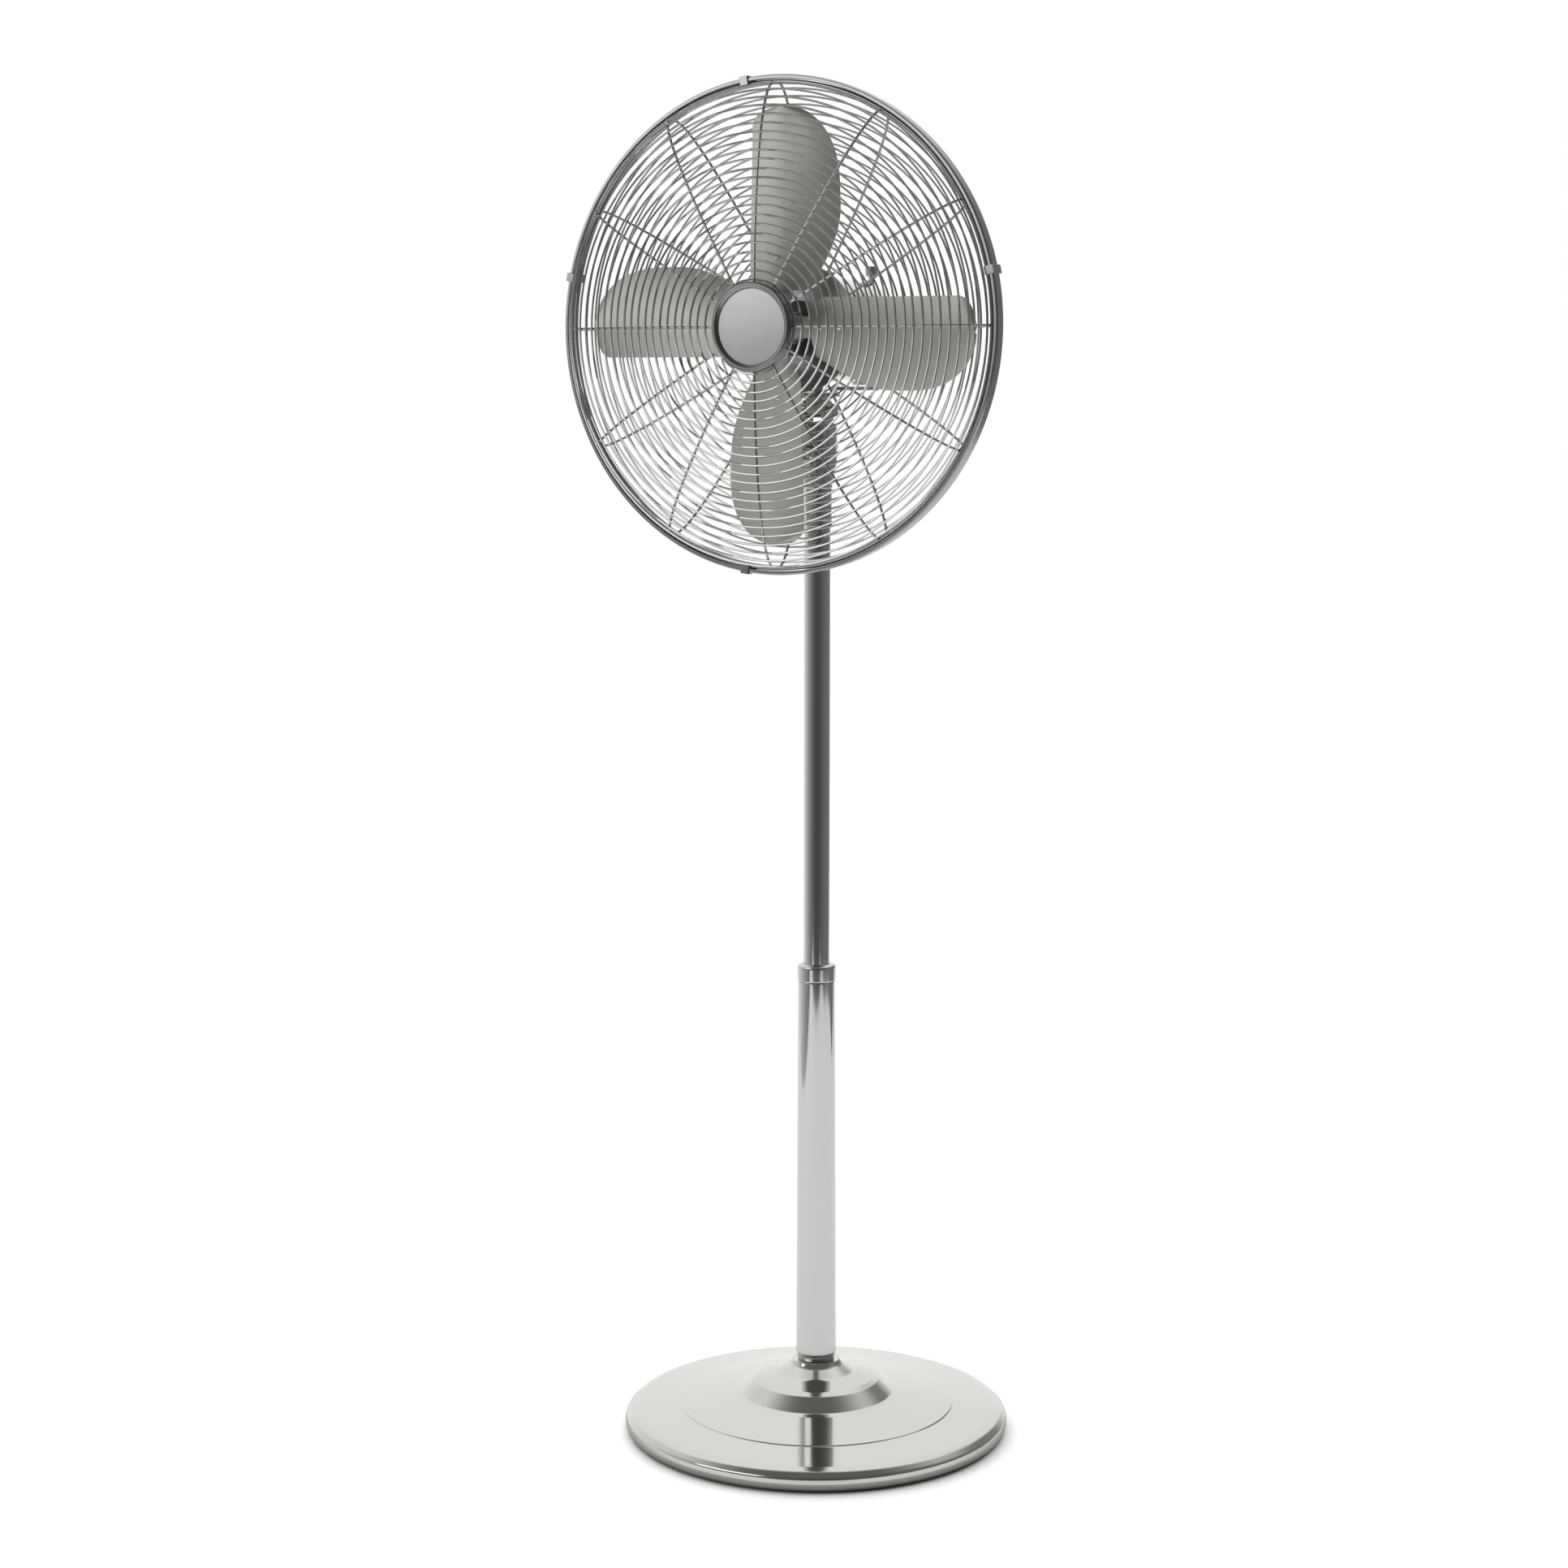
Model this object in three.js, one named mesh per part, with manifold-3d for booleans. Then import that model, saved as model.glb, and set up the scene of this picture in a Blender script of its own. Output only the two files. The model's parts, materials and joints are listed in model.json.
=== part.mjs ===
// Pedestal fan: a round chrome base, a telescopic pole, a tilting and oscillating motor head,
// and four metal blades inside a two-part wire guard. Millimetres, +Z up, the fan faces -Y.
// The origin is on the floor, at the centre of the base. The pole's axis is the Z axis.
import * as THREE from "three";
import { mergeVertices } from "three/addons/utils/BufferGeometryUtils.js";
import Module from "manifold-3d";

const wasm = await Module();
wasm.setup();

// ---- driving dimensions ----
const GAP = 0.3; // clearance between neighbouring pieces
const BASE_RADIUS = 190;
const BASE_TOP = 70; // top of the base's raised centre
const FOOT_HEIGHT = 3;
const SHELL = 1.6; // pressed steel thickness
const PLUG_RADIUS = 15.5; // the plug that joins the lower pole to the base
const FOOT_RING_HEIGHT = 8; // dark ring between the base and the lower pole
const LOWER_POLE = {
  bottomRadius: 20,
  topRadius: 18.2,
  bottom: BASE_TOP + FOOT_RING_HEIGHT + GAP,
  top: 453,
};
const COLLAR = { bottom: LOWER_POLE.top + GAP, top: 470, radius: 18.9 };
const UPPER_POLE = { radius: 12.8, wall: 1.4, bottom: 330, top: 930 };
const NECK = { bottom: 937, shoulder: 958, top: 996, radius: 19.2 };
const SLEEVE = { bottom: 897, radius: 14.6 };
const TILT_HEIGHT = 1008; // height of the tilt bolt
const HEAD_HEIGHT = 1084; // height of the motor's axis
const RIM = { y: -81, radius: 229.5, halfWidth: 7, wireRadius: 222.8, wire: 2.2, wireOffset: 3.6 };
const GUARD = { spokes: 12, wire: 1.5, wireSides: 3, frontDepth: 38, rearDepth: 43, roundness: 2.5 };
const BLADE = {
  count: 4,
  root: 34,
  tip: 202,
  y: -74,
  thickness: 1.2,
  rootPitch: 17,
  tipPitch: 3,
  camber: 4,
};
const MOTOR = { front: -33, seam: -20, rear: 122, radius: 50, vents: 16 };
const WORM = { y: 83, length: 18, radius: 5 };
const WHEEL = { x: 14.5, radius: 9.2, teeth: 20, height: 8 };
const CRANK = { x: 11.2, y: 78, throw: 10.3, radius: 13.6 };
const LINK = { bottom: 1026, top: 1029.5 };

// ---- materials ----
const finish = (color, roughness, metalness) =>
  new THREE.MeshStandardMaterial({ color, roughness, metalness });
const chrome = finish(0xd8dadc, 0.08, 1);
const satin = finish(0x9a9b90, 0.38, 1);
const brushed = finish(0xa9acab, 0.3, 1);
const steel = finish(0x8c8f92, 0.4, 1);
const castIron = finish(0x3a3b3d, 0.7, 0.6);
const aluminium = finish(0xa5a7a8, 0.5, 0.9);
const copper = finish(0xa5673f, 0.45, 0.8);
const brass = finish(0xb5934e, 0.35, 0.9);
const blackPlastic = finish(0x17181a, 0.45, 0);
const greyPlastic = finish(0x4c4f51, 0.5, 0);
const rubber = finish(0x1b1b1c, 0.85, 0);

// ---- geometry helpers ----

// A closed geometry as a manifold solid, with its faces turned outwards.
function solid(geometry) {
  const bare = geometry.index ? geometry.toNonIndexed() : geometry.clone();
  bare.deleteAttribute("normal");
  bare.deleteAttribute("uv");
  const merged = mergeVertices(bare, 1e-4);
  const points = merged.attributes.position.array;
  const corner = (i) => new THREE.Vector3().fromArray(points, 3 * i);
  const triangles = [];
  let volume = 0;
  for (let i = 0; i < merged.index.count; i += 3) {
    const [a, b, c] = [0, 1, 2].map((k) => merged.index.getX(i + k));
    if (a === b || b === c || c === a) continue;
    triangles.push([a, b, c]);
    volume += corner(a).dot(corner(b).cross(corner(c)));
  }
  const outward = volume > 0 ? triangles : triangles.map(([a, b, c]) => [a, c, b]);
  const mesh = new wasm.Mesh({
    numProp: 3,
    vertProperties: new Float32Array(points),
    triVerts: new Uint32Array(outward.flat()),
  });
  return new wasm.Manifold(mesh);
}

function geometryOf(manifold) {
  const mesh = manifold.getMesh();
  const geometry = new THREE.BufferGeometry();
  geometry.setAttribute("position", new THREE.BufferAttribute(mesh.vertProperties, mesh.numProp));
  geometry.setIndex(new THREE.BufferAttribute(mesh.triVerts, 1));
  geometry.computeVertexNormals();
  return geometry;
}

const profile = (pairs) => pairs.map(([radius, along]) => new THREE.Vector2(radius, along));

// A body turned about Y, from (radius, y) pairs that start and end on the axis.
const turned = (pairs, segments = 32) => new THREE.LatheGeometry(profile(pairs), segments);

// The same, about Z.
const turnedUp = (pairs, segments = 32) => turned(pairs, segments).rotateX(Math.PI / 2);

// A ring turned about Y or Z: its outline closes on itself.
const ringOf = (pairs, segments) => turned([...pairs, pairs[0]], segments);
const ringUp = (pairs, segments) => turnedUp([...pairs, pairs[0]], segments);

// A plain tube or washer between two radii and two heights.
const band = (inner, outer, low, high) => [[inner, low], [outer, low], [outer, high], [inner, high]];

const rod = (radius, low, high) => [[0, low], [radius, low], [radius, high], [0, high]];

// A straight round bar along X.
const barX = (radius, low, high, segments = 20) =>
  turned(rod(radius, low, high), segments).rotateZ(-Math.PI / 2);

const box = (x, y, z, at = [0, 0, 0]) => new THREE.BoxGeometry(x, y, z).translate(...at);

const joined = (first, ...rest) => rest.reduce((all, next) => all.add(solid(next)), solid(first));

const cut = (body, ...tools) => tools.reduce((left, tool) => left.subtract(solid(tool)), body);

// Adds a named mesh to a group. The shape is a geometry or a manifold solid.
function piece(group, name, shape, material, position = [0, 0, 0], turn = [0, 0, 0]) {
  const body = shape.isBufferGeometry ? solid(shape) : shape;
  const mesh = new THREE.Mesh(geometryOf(body), material);
  mesh.name = name;
  mesh.position.set(...position);
  mesh.rotation.set(...turn);
  group.add(mesh);
}

const fan = new THREE.Group();

// ---- base: a cast weight under a pressed cover, on four rubber feet ----
function addBase() {
  const R = BASE_RADIUS;
  const outside = [
    [R - 5, FOOT_HEIGHT],
    [R, 9.5],
    [R - 1, 15],
    [R - 5, 20],
    [R - 12, 23],
    [0.71 * R, 28],
    [0.4 * R, 38],
    [0.33 * R, 51],
    [0.3 * R, 53.5],
    [22, BASE_TOP],
  ];
  const inside = [
    [16, BASE_TOP],
    [16, 67],
    [0.3 * R, 51.4],
    [0.385 * R, 36.2],
    [R - 13, 21],
    [R - 3, 14],
    [R - 7, FOOT_HEIGHT],
  ];
  piece(fan, "base_cover", ringUp([...outside, ...inside], 44), chrome);

  const weight = [
    [7, FOOT_HEIGHT + 1],
    [R - 12, FOOT_HEIGHT + 1],
    [R - 12, 7],
    [R - 24, 8],
    [64, 9],
    [34, 34],
    [14, 34],
    [7, 30],
  ];
  piece(fan, "base_weight", ringUp(weight, 32), castIron);

  const footCircle = R - 26;
  const foot = [[0, 0], [9, 0], [11, 1], [11, FOOT_HEIGHT + 0.7], [0, FOOT_HEIGHT + 0.7]];
  for (let i = 0; i < 4; i += 1) {
    const angle = Math.PI / 4 + (i * Math.PI) / 2;
    const at = [footCircle * Math.cos(angle), footCircle * Math.sin(angle), 0];
    piece(fan, `foot_${i + 1}`, turnedUp(foot, 20), rubber, at);
  }

  // The bolt that pulls the pole's threaded plug down onto the base.
  const bolt = [[0, 34.3], [11, 34.3], [11, 37], [5, 37], [5, 77], [0, 77]];
  piece(fan, "base_bolt", turnedUp(bolt, 20), steel);
  const hole = 5 + GAP;
  const shoulder = LOWER_POLE.bottomRadius - SHELL - 2 * GAP;
  const plug = [
    [hole, 60],
    [PLUG_RADIUS, 60],
    [PLUG_RADIUS, LOWER_POLE.bottom],
    [shoulder, LOWER_POLE.bottom],
    [shoulder, LOWER_POLE.bottom + 1.7],
    [hole, LOWER_POLE.bottom + 1.7],
  ];
  piece(fan, "pole_foot_plug", ringUp(plug, 24), steel);
}

// ---- lower pole, with its foot ring, collet and lock collar ----
function addLowerPole() {
  const { bottomRadius, topRadius, bottom, top } = LOWER_POLE;
  const tube = [
    [bottomRadius, bottom],
    [topRadius, top],
    [topRadius - SHELL, top],
    [bottomRadius - SHELL, bottom],
  ];
  piece(fan, "lower_pole", ringUp(tube, 28), chrome);

  const ringLow = BASE_TOP + GAP;
  const ringHigh = BASE_TOP + FOOT_RING_HEIGHT;
  const ring = [
    [PLUG_RADIUS + GAP, ringLow],
    [bottomRadius - 2, ringLow],
    [bottomRadius - 1.6, ringLow + 3],
    [bottomRadius - 0.8, ringHigh],
    [PLUG_RADIUS + GAP, ringHigh],
  ];
  piece(fan, "foot_ring", ringUp(ring, 24), satin);

  const collet = band(UPPER_POLE.radius + GAP, topRadius - SHELL - GAP, top - 48, top);
  piece(fan, "collet_sleeve", ringUp(collet, 28), greyPlastic);

  const hole = UPPER_POLE.radius + GAP;
  const collar = [
    [hole, COLLAR.bottom],
    [COLLAR.radius - 0.7, COLLAR.bottom],
    [COLLAR.radius, COLLAR.bottom + 1.5],
    [COLLAR.radius, COLLAR.top - 5],
    [COLLAR.radius - 1, COLLAR.top - 2.5],
    [hole + 2, COLLAR.top],
    [hole, COLLAR.top],
  ];
  piece(fan, "lock_collar", ringUp(collar, 24), chrome);
}

// ---- upper pole, with the neck that holds the speed switch ----
function addMast() {
  const { radius, wall, bottom, top } = UPPER_POLE;
  piece(fan, "upper_pole", ringUp(band(radius - wall, radius, bottom, top), 28), chrome);
  const guide = band(radius - wall - 2, 15.9, bottom - 8, bottom - GAP);
  piece(fan, "pole_guide", ringUp(guide, 28), greyPlastic);

  const sleeve = band(radius + GAP, SLEEVE.radius, SLEEVE.bottom, NECK.bottom - GAP);
  piece(fan, "neck_sleeve", ringUp(sleeve, 28), chrome);

  const shell = [
    [11, NECK.bottom],
    [SLEEVE.radius + 0.8, NECK.bottom],
    [SLEEVE.radius + 1.6, NECK.bottom + 8],
    [NECK.radius, NECK.shoulder],
    [NECK.radius, NECK.top - 5],
    [NECK.radius - 2, NECK.top - 1],
    [NECK.radius - 5, NECK.top],
    [0, NECK.top],
    [0, NECK.top - 4],
    [NECK.radius - 4, NECK.top - 4],
    [NECK.radius - 2, NECK.top - 8],
    [NECK.radius - 2, NECK.shoulder + 1],
    [13, NECK.bottom + 4],
    [11, NECK.bottom + 4],
  ];
  const ears = [-11, 11].flatMap((x) => [
    box(4, 18, 14, [x, 0, TILT_HEIGHT - 7]),
    barX(9, x - 2, x + 2, 20).translate(0, 0, TILT_HEIGHT),
  ]);
  const housing = ears.reduce((all, ear) => all.add(solid(ear)), solid(ringUp(shell, 24)));
  const boltHole = barX(3 + GAP, -30, 30).translate(0, 0, TILT_HEIGHT);
  const knobHole = turned(rod(3 + GAP, -30, -10), 16).translate(0, 0, 966);
  const cordHole = turned(rod(4 + GAP, 8, 30), 16).translate(0, 0, 972);
  piece(fan, "neck_housing", cut(housing, boltHole, knobHole, cordHole), chrome);

  piece(fan, "speed_switch", box(18, 14, 22), blackPlastic, [0, 0, 966]);
  const knob = [[0, -27.5], [7, -27.5], [8, -26], [8.4, -19.8], [3, -19.8], [3, -7.6], [0, -7.6]];
  const knobBody = solid(turned(knob, 24)).add(solid(box(2.4, 1.6, 13, [0, -28, 0])));
  piece(fan, "speed_knob", knobBody, chrome, [0, 0, 966]);
  const gland = [[2.6, 12], [4, 12], [4, 19.6], [6.5, 19.6], [6.5, 22], [4.6, 34], [2.6, 34]];
  piece(fan, "cord_gland", ringOf(gland, 14), rubber, [0, 0, 972]);

  const tiltBolt = joined(barX(3, -22, 17), barX(5.5, 16.7, 20, 6));
  piece(fan, "tilt_bolt", tiltBolt, steel, [0, 0, TILT_HEIGHT]);
  const lobes = [0, 1, 2, 3, 4].map((i) => {
    const angle = (i * 2 * Math.PI) / 5;
    return barX(3.2, -30, -20.5, 8).translate(0, 7.2 * Math.cos(angle), 7.2 * Math.sin(angle));
  });
  const grip = joined(barX(8, -30, -20.5, 20), barX(5, -21, -13.4, 14), ...lobes);
  const thread = barX(3 + GAP, -24, -10);
  piece(fan, "tilt_knob", cut(grip, thread), blackPlastic, [0, 0, TILT_HEIGHT]);
}

// ---- tilt block: turns on the tilt bolt and carries the upright swivel pin ----
function addTiltBlock() {
  const flange = turnedUp(rod(22, 12, 16), 24);
  const stem = box(17, 16, 14, [0, 0, 6.5]);
  const eye = barX(8, -8.5, 8.5, 20);
  const block = joined(stem, eye, flange);
  const boltHole = barX(3 + GAP, -12, 12);
  const pinHole = turnedUp(rod(3.5 + GAP, 5, 20), 16);
  piece(fan, "tilt_block", cut(block, boltHole, pinHole), satin, [0, 0, TILT_HEIGHT]);
  piece(fan, "swivel_pin", turnedUp(rod(3.5, 5.3, 31), 20), steel, [0, 0, TILT_HEIGHT]);
  const anchor = [[0, 16.3], [3.4, 16.3], [3.4, 17.4], [1.8, 17.4], [1.8, 22.5], [0, 22.5]];
  piece(fan, "link_anchor", turnedUp(anchor, 14), steel, [18, 0, TILT_HEIGHT]);
}

// ---- motor: everything is placed about its axis, which runs along Y ----
const head = new THREE.Group();
head.position.z = HEAD_HEIGHT;
fan.add(head);

// Radius of the cover at a distance along the axis: straight, then a taper and a round end.
function coverRadius(y) {
  const taper = THREE.MathUtils.clamp((y - 10) / (MOTOR.rear - 10), 0, 1);
  return MOTOR.radius * Math.sqrt(1 - 0.28 * taper ** 2) * Math.sqrt(1 - taper ** 9);
}

function addMotorShells() {
  const stations = [20, 60, 85, 101, 112, 119, MOTOR.rear];
  const outside = stations.map((y) => [coverRadius(y), y]);
  const inside = stations.map((y) => [Math.max(coverRadius(y) - 1.5, 0), Math.min(y, MOTOR.rear - 2)]);
  inside[inside.length - 1][0] = 0;
  const shell = [
    [MOTOR.radius - 1.5, MOTOR.seam + GAP],
    [MOTOR.radius, MOTOR.seam + GAP],
    ...outside,
    ...inside.reverse(),
  ];
  const down = (radius, x, y) => turnedUp(rod(radius, -70, -20), 24).translate(x, y, 0);
  const mountHole = down(17.4, 0, 0);
  const crankHole = down(5, CRANK.x, CRANK.y);
  const stemHole = turnedUp(rod(3 + GAP, 20, 70), 16).translate(WHEEL.x, WORM.y, 0);
  const cover = cut(solid(ringOf(shell, 32)), mountHole, crankHole, stemHole);
  piece(head, "motor_cover", cover, chrome);

  const front = [
    [9.3, -46],
    [15, -46],
    [15, MOTOR.front],
    [MOTOR.radius - 4, MOTOR.front],
    [MOTOR.radius, MOTOR.front + 4],
    [MOTOR.radius, MOTOR.seam],
    [MOTOR.radius - 3, MOTOR.seam],
    [MOTOR.radius - 3, MOTOR.front + 4],
    [12, MOTOR.front + 4],
    [12, MOTOR.front + 7],
    [9.3, MOTOR.front + 7],
  ];
  const vents = Array.from({ length: MOTOR.vents }, (_, i) =>
    box(4, 12, 20, [0, MOTOR.front, 38]).rotateY(((i + 0.5) * 2 * Math.PI) / MOTOR.vents),
  );
  piece(head, "motor_front_cover", cut(solid(ringOf(front, 32)), ...vents), chrome);

  const mount = [
    [3.5 + GAP, TILT_HEIGHT + 16.3],
    [5.6, TILT_HEIGHT + 16.3],
    [5.6, TILT_HEIGHT + 27],
    [16.8, TILT_HEIGHT + 29],
    [16.8, TILT_HEIGHT + 33],
    [3.5 + GAP, TILT_HEIGHT + 33],
  ];
  piece(fan, "motor_mount", ringUp(mount, 20), aluminium);
}

function addMotorInsides() {
  piece(head, "motor_stator", ringOf(band(21, 42, -12, 26), 28), copper);
  piece(head, "motor_rotor", ringOf(band(4.3, 20.4, -10, 24), 28), steel);
  piece(head, "motor_shaft", turned(rod(4, -97, WORM.y - WORM.length / 2 - GAP), 16), steel);
  piece(head, "front_bearing", ringOf(band(4.3, 9, -44, -32), 20), brass);
  piece(head, "rear_bearing", ringOf(band(4.3, 9, 34, 44), 20), brass);
  piece(head, "rear_bracket", ringOf(band(9.3, 45, 36, 40), 24), aluminium);
  piece(head, "capacitor", box(26, 14, 12), greyPlastic, [0, 52, -28]);

  const threads = 4;
  const pitch = WORM.length / threads;
  const outline = [[0, -WORM.length / 2]];
  for (let i = 0; i < threads; i += 1) {
    const from = -WORM.length / 2 + i * pitch;
    outline.push([WORM.radius - 1.4, from], [WORM.radius, from + pitch * 0.4]);
    outline.push([WORM.radius, from + pitch * 0.6]);
  }
  outline.push([WORM.radius - 1.4, WORM.length / 2], [0, WORM.length / 2]);
  piece(head, "worm", turned(outline, 12), steel, [0, WORM.y, 0]);
}

// ---- oscillation gear: worm wheel, pull knob, crank and link ----
function wheelOutline() {
  const outline = new THREE.Shape();
  for (let i = 0; i < WHEEL.teeth * 2; i += 1) {
    const radius = i % 2 ? WHEEL.radius - 1.2 : WHEEL.radius;
    const angle = (i * Math.PI) / WHEEL.teeth;
    const point = [radius * Math.cos(angle), radius * Math.sin(angle)];
    if (i) outline.lineTo(...point);
    else outline.moveTo(...point);
  }
  outline.closePath();
  outline.holes.push(new THREE.Path().absarc(0, 0, 2 + GAP, 0, 2 * Math.PI, true));
  return outline;
}

function linkOutline() {
  const length = CRANK.y;
  const outline = new THREE.Shape();
  outline.absarc(0, 0, 7, Math.PI, 2 * Math.PI, false);
  outline.lineTo(7, 2);
  outline.lineTo(4, 9);
  outline.lineTo(4, length);
  outline.absarc(0, length, 4, 0, Math.PI, false);
  outline.lineTo(-4, 9);
  outline.lineTo(-7, 2);
  outline.closePath();
  outline.holes.push(new THREE.Path().absarc(0, 0, 5.7, 0, 2 * Math.PI, true));
  outline.holes.push(new THREE.Path().absarc(0, length, 2 + GAP, 0, 2 * Math.PI, true));
  return outline;
}

function addOscillation() {
  const wheel = new THREE.ExtrudeGeometry(wheelOutline(), {
    depth: WHEEL.height,
    bevelEnabled: false,
    curveSegments: 6,
  });
  piece(head, "worm_wheel", wheel, brass, [WHEEL.x, WORM.y, -WHEEL.height / 2]);

  const outer = box(44, 40, 30, [8, WORM.y, 0]);
  const inner = box(40, 36, 30, [8, WORM.y, 2.5]);
  const bearing = turned(rod(5.4, 55, 70), 16);
  const shaftHole = turnedUp(rod(4.4, -20, -5), 16).translate(CRANK.x, CRANK.y, 0);
  piece(head, "gearbox_case", cut(solid(outer), inner, bearing, shaftHole), aluminium);
  const lid = cut(
    solid(box(44, 40, 2, [8, WORM.y, 16.3])),
    turnedUp(rod(2 + GAP, 10, 20), 16).translate(WHEEL.x, WORM.y, 0),
  );
  piece(head, "gearbox_lid", lid, steel);

  const knob = [
    [0, -6],
    [2, -6],
    [2, 36],
    [3, 36],
    [3, 51],
    [6, 51.5],
    [6.6, 59],
    [5.6, 61],
    [0, 61],
  ];
  piece(head, "oscillation_knob", turnedUp(knob, 16), chrome, [WHEEL.x, WORM.y, 0]);

  const disc = [[0, 1031], [CRANK.radius, 1031], [CRANK.radius, 1035], [4, 1035], [4, 1073.5], [0, 1073.5]];
  const crank = joined(
    turnedUp(disc, 20),
    turnedUp(rod(2, LINK.bottom - 1, 1032), 14).translate(CRANK.throw, 0, 0),
  );
  piece(fan, "crank", crank, steel, [CRANK.x, CRANK.y, 0]);
  const link = new THREE.ExtrudeGeometry(linkOutline(), {
    depth: LINK.top - LINK.bottom,
    bevelEnabled: false,
    curveSegments: 6,
  });
  piece(fan, "link_arm", link, steel, [CRANK.x + CRANK.throw, 0, LINK.bottom]);
}

// ---- wire guards ----

// How far a guard bulges out of the rim's plane at a radius.
const bulge = (radius, depth) =>
  depth * Math.sqrt(Math.max(0, 1 - (radius / RIM.wireRadius) ** GUARD.roundness));

// One wire guard: side is -1 for the front and 1 for the rear.
function wireGuard(side, depth, innerRadius, rings) {
  const rimY = RIM.y + side * RIM.wireOffset;
  const surface = (radius) => rimY + side * bulge(radius, depth);
  const hoop = (radius, wire, sides, y, segments) =>
    new THREE.TorusGeometry(radius, wire, sides, segments).rotateX(Math.PI / 2).translate(0, y, 0);
  let guard = solid(hoop(RIM.wireRadius, RIM.wire, 4, rimY, 48));
  for (const radius of rings) {
    guard = guard.add(solid(hoop(radius, GUARD.wire, GUARD.wireSides, surface(radius), 24)));
  }
  const section = new THREE.Shape();
  for (let i = 0; i < GUARD.wireSides; i += 1) {
    const angle = (i * 2 * Math.PI) / GUARD.wireSides;
    const point = [GUARD.wire * Math.cos(angle), GUARD.wire * Math.sin(angle)];
    if (i) section.lineTo(...point);
    else section.moveTo(...point);
  }
  const steps = 5;
  for (let i = 0; i < GUARD.spokes; i += 1) {
    const angle = (i * 2 * Math.PI) / GUARD.spokes;
    const points = [];
    for (let k = 0; k <= steps; k += 1) {
      const sweep = (k / steps) * (Math.PI / 2);
      const radius = innerRadius + (RIM.wireRadius - 1 - innerRadius) * Math.sin(sweep);
      const y = k < steps ? surface(radius) : rimY;
      points.push(new THREE.Vector3(radius * Math.cos(angle), y, radius * Math.sin(angle)));
    }
    const extrudePath = new THREE.CatmullRomCurve3(points);
    guard = guard.add(solid(new THREE.ExtrudeGeometry(section, { steps, extrudePath })));
  }
  return guard;
}

function addGuards() {
  const frontHub = RIM.y - RIM.wireOffset - GUARD.frontDepth;
  const frontPlate = ringOf(band(6, 37, frontHub - 2, frontHub + 1), 28);
  const front = wireGuard(-1, GUARD.frontDepth, 30, [110, 172]).add(solid(frontPlate));
  piece(head, "front_guard", front, steel);

  const rearHub = RIM.y + RIM.wireOffset + GUARD.rearDepth;
  const rearPlate = ringOf(band(15 + GAP, 60, rearHub - 2.5, rearHub + 0.6), 28);
  const rear = wireGuard(1, GUARD.rearDepth, 55, [118, 176]).add(solid(rearPlate));
  piece(head, "rear_guard", rear, steel);
  const nut = band(15 + GAP, 26, rearHub - 9, rearHub - 2.5 - GAP);
  piece(head, "rear_guard_nut", ringOf(nut, 24), greyPlastic);

  const back = frontHub - 2 - GAP;
  const bezel = [
    [35, back],
    [40, back],
    [41.5, back - 1.5],
    [40.5, back - 5],
    [38, back - 6],
    [35, back - 4],
  ];
  piece(head, "badge_ring", ringOf(bezel, 28), steel);
  const disc = [[0, back - 4.5], [26, back - 4.2], [34.7, back - 3.2], [34.7, back], [0, back]];
  piece(head, "badge_disc", turned(disc, 28), brushed);

  const inner = RIM.wireRadius + RIM.wire + GAP;
  const edge = RIM.halfWidth;
  const hoop = [
    [inner, RIM.y - edge],
    [RIM.radius - 1, RIM.y - edge],
    [RIM.radius, RIM.y - edge + 2],
    [RIM.radius, RIM.y + edge - 2],
    [RIM.radius - 1, RIM.y + edge],
    [inner, RIM.y + edge],
  ];
  piece(head, "rim_band", ringOf(hoop, 48), steel);

  // Spring clips bent round both edges of the rim, clear of the spokes.
  const sheet = 1;
  const [clipInside, clipWidth] = [RIM.radius + GAP, 8];
  const outerBlock = solid(box(9, 2 * (edge + sheet) + 0.8, clipWidth, [clipInside + sheet - 4.5, RIM.y, 0]));
  const clipShape = cut(outerBlock, box(9, 2 * edge + 0.8, 2 * clipWidth, [clipInside - 4.5, RIM.y, 0]));
  [12.5, 97.5, 167.5, 262.5].forEach((degrees, i) => {
    const angle = THREE.MathUtils.degToRad(degrees);
    piece(head, `rim_clip_${i + 1}`, clipShape, satin, [0, 0, 0], [0, -angle, 0]);
  });
}

// ---- blades ----

// How far a blade reaches on either side of its own radius line, at a distance from the axis.
// The trailing edge is straight, and the leading edge bulges; both close round the tip.
function bladeEdges(radius) {
  const { clamp, smoothstep } = THREE.MathUtils;
  const closing = (start, power) =>
    Math.sqrt(1 - clamp((radius - start) / (BLADE.tip - start), 0, 1) ** power);
  const growth = Math.sin((Math.PI / 2) * clamp((radius - BLADE.root) / 80, 0, 1));
  const trailing = -22 - 5 * smoothstep(radius, BLADE.root, BLADE.root + 20);
  const leading = 26 + 32 * growth;
  const tipOffset = 5;
  return [
    tipOffset + (trailing - tipOffset) * Math.max(closing(184, 2.2), 0.04),
    tipOffset + (leading - tipOffset) * Math.max(closing(130, 2.35), 0.04),
  ];
}

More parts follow.
